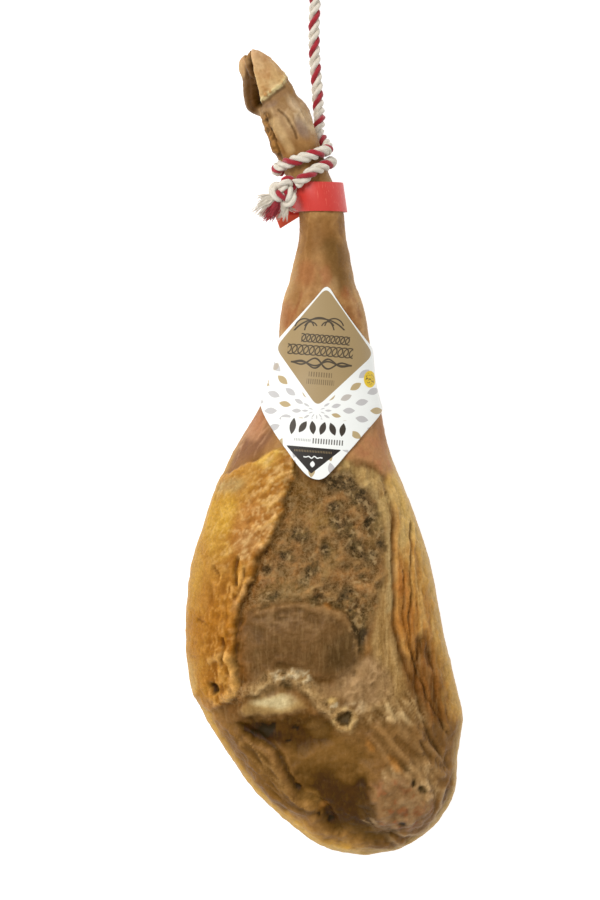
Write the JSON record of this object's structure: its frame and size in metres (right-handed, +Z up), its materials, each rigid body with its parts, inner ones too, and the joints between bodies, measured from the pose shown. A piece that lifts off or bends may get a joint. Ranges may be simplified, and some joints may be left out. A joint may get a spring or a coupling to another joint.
{
  "type": "cured ham",
  "caption": "Whole cured ham on the bone with its trotter, lying trimmed face up, with a printed label, a plastic seal band and a twisted hanging rope.",
  "frame": {"origin": "on the surface it lies on, under the middle of the box of the ham, label and band", "axes": "+Z up, out of the trimmed face; +Y along the leg towards the trotter"},
  "size_m": [0.2632, 0.9648, 0.108],
  "materials": {
    "ham": "oily skin, yellow fat and dark cured lean",
    "label": "coated card, printed",
    "seal_band": "semi-gloss",
    "rope": "twisted cream and dark red strands"
  },
  "bodies": {
    "root": {"ham": "ham", "label": "label", "seal_band": "seal_band", "rope": "rope", "rope_knot": "rope", "frayed_end": "rope", "loop_knot": "rope", "hanging_loop": "rope"}
  },
  "joints": []
}
